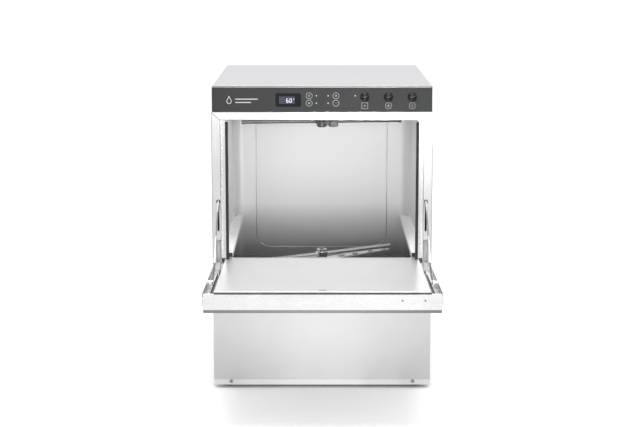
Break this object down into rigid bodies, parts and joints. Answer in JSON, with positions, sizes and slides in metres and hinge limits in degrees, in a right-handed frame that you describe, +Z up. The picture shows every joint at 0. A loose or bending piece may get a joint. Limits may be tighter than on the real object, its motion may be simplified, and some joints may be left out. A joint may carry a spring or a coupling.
{
  "type": "commercial dishwasher",
  "caption": "Under-counter front-loading commercial dishwasher with a drop-down door, spray arms, stay arms and adjustable feet.",
  "frame": {"origin": "on the floor under the middle of the cabinet's footprint", "axes": "+Z up, +X to the right seen from the front, the front faces -Y"},
  "size_m": [0.6, 1.0759, 0.846],
  "materials": {
    "stainless": "fine brushed stainless steel",
    "bright_steel": "polished stainless steel",
    "chamber_steel": "satin stainless steel",
    "zinc": "zinc-plated steel",
    "fascia_black": "dark satin coating",
    "smoked_lens": "smoked clear plastic",
    "button_black": "gloss black plastic",
    "lamp": "diffuse light guide",
    "board_green": "circuit board",
    "rubber_black": "matt black rubber",
    "black_plastic": "matt black plastic",
    "grey_plastic": "grey plastic",
    "brass": "machined brass",
    "motor_paint": "dark enamel",
    "spring_steel": "oiled spring wire"
  },
  "bodies": {
    "cabinet": {"base_frame": "stainless", "side_panel_left": "stainless", "side_panel_right": "stainless", "top_panel": "stainless", "rear_panel": "stainless", "front_lower_panel": "stainless", "base_trim": "stainless", "front_frame": "bright_steel", "door_sill": "chamber_steel", "hinge_bracket_left": "zinc", "hinge_bracket_right": "zinc", "control_panel": "fascia_black", "display_window": "smoked_lens", "control_board": "board_green", "indicator_lamps": "lamp", "button_bezels": "button_black", "wash_chamber": "chamber_steel", "wash_tank": "chamber_steel", "door_gasket": "rubber_black", "rack_rail_left": "bright_steel", "rack_rail_right": "bright_steel", "tank_strainer": "chamber_steel", "tank_heater": "chamber_steel", "boiler_shell": "chamber_steel", "boiler_heater": "zinc", "wash_pump_housing": "black_plastic", "wash_pump_motor": "motor_paint", "wash_manifold": "grey_plastic", "rinse_pipe": "chamber_steel", "lower_arm_spigot": "chamber_steel", "upper_arm_spigot": "chamber_steel", "inlet_valve": "grey_plastic", "drain_pipe": "grey_plastic", "rinse_aid_doser": "grey_plastic", "pressure_switch": "black_plastic", "terminal_block": "black_plastic", "cable_gland": "black_plastic", "cabinet_screws": "zinc", "door_springs": "spring_steel", "door_catch": "black_plastic"},
    "door": {"door_outer_skin": "bright_steel", "door_inner_panel": "stainless", "door_hinge_levers": "zinc", "door_screws": "zinc", "door_strike": "zinc"},
    "stay_left": {"stay_arm_left": "bright_steel"},
    "stay_right": {"stay_arm_right": "bright_steel"},
    "lower_wash_rotor": {"lower_wash_arm": "chamber_steel"},
    "lower_rinse_rotor": {"lower_rinse_arm": "chamber_steel"},
    "upper_wash_rotor": {"upper_wash_arm": "chamber_steel"},
    "upper_rinse_rotor": {"upper_rinse_arm": "chamber_steel"},
    "pump_rotor": {"pump_impeller": "chamber_steel"},
    "power_key": {"button_power": "button_black"},
    "program_key": {"button_program": "button_black"},
    "start_key": {"button_start": "button_black"},
    "standpipe": {"overflow_standpipe": "grey_plastic"},
    "foot_fl": {"foot_front_left": "black_plastic"},
    "foot_fr": {"foot_front_right": "black_plastic"},
    "foot_rl": {"foot_rear_left": "black_plastic"},
    "foot_rr": {"foot_rear_right": "black_plastic"}
  },
  "joints": [
    {"name": "door_hinge", "type": "hinge", "parent": "cabinet", "child": "door", "pos_m": [0, -0.32, 0.352], "axis": [-1, 0, 0], "range_deg": [0, 87.5], "deforming": ["door_springs"]},
    {"name": "stay_left_pivot", "type": "hinge", "parent": "door", "child": "stay_left", "pos_m": [-0.283, -0.54774, 0.36294], "axis": [-1, 0, 0], "range_deg": [0, 14.1]},
    {"name": "stay_right_pivot", "type": "hinge", "parent": "door", "child": "stay_right", "pos_m": [0.283, -0.54774, 0.36294], "axis": [-1, 0, 0], "range_deg": [0, 14.1]},
    {"name": "lower_wash_spin", "type": "hinge", "parent": "cabinet", "child": "lower_wash_rotor", "pos_m": [0, -0.02, 0.294], "axis": [0, 0, 1], "continuous": true},
    {"name": "lower_rinse_spin", "type": "hinge", "parent": "cabinet", "child": "lower_rinse_rotor", "pos_m": [0, -0.02, 0.316], "axis": [0, 0, 1], "continuous": true},
    {"name": "upper_wash_spin", "type": "hinge", "parent": "cabinet", "child": "upper_wash_rotor", "pos_m": [0, -0.02, 0.735], "axis": [0, 0, 1], "continuous": true},
    {"name": "upper_rinse_spin", "type": "hinge", "parent": "cabinet", "child": "upper_rinse_rotor", "pos_m": [0, -0.02, 0.712], "axis": [0, 0, 1], "continuous": true},
    {"name": "pump_spin", "type": "hinge", "parent": "cabinet", "child": "pump_rotor", "pos_m": [0.09, 0, 0.105], "axis": [0, 1, 0], "continuous": true},
    {"name": "power_press", "type": "slide", "parent": "cabinet", "child": "power_key", "axis": [0, 1, 0], "range_m": [0, 0.003], "stiffness_N_per_m": 400},
    {"name": "program_press", "type": "slide", "parent": "cabinet", "child": "program_key", "axis": [0, 1, 0], "range_m": [0, 0.003], "stiffness_N_per_m": 400},
    {"name": "start_press", "type": "slide", "parent": "cabinet", "child": "start_key", "axis": [0, 1, 0], "range_m": [0, 0.003], "stiffness_N_per_m": 400},
    {"name": "standpipe_lift", "type": "slide", "parent": "cabinet", "child": "standpipe", "axis": [0, 0, 1], "range_m": [0, 0.06]},
    {"name": "foot_fl_screw", "type": "slide", "parent": "cabinet", "child": "foot_fl", "axis": [0, 0, -1], "range_m": [0, 0.03]},
    {"name": "foot_fr_screw", "type": "slide", "parent": "cabinet", "child": "foot_fr", "axis": [0, 0, -1], "range_m": [0, 0.03]},
    {"name": "foot_rl_screw", "type": "slide", "parent": "cabinet", "child": "foot_rl", "axis": [0, 0, -1], "range_m": [0, 0.03]},
    {"name": "foot_rr_screw", "type": "slide", "parent": "cabinet", "child": "foot_rr", "axis": [0, 0, -1], "range_m": [0, 0.03]}
  ],
  "couplings": [
    {"joint": "stay_left_pivot", "follows": "door_hinge", "ratio": 0.16},
    {"joint": "stay_right_pivot", "follows": "door_hinge", "ratio": 0.16}
  ]
}
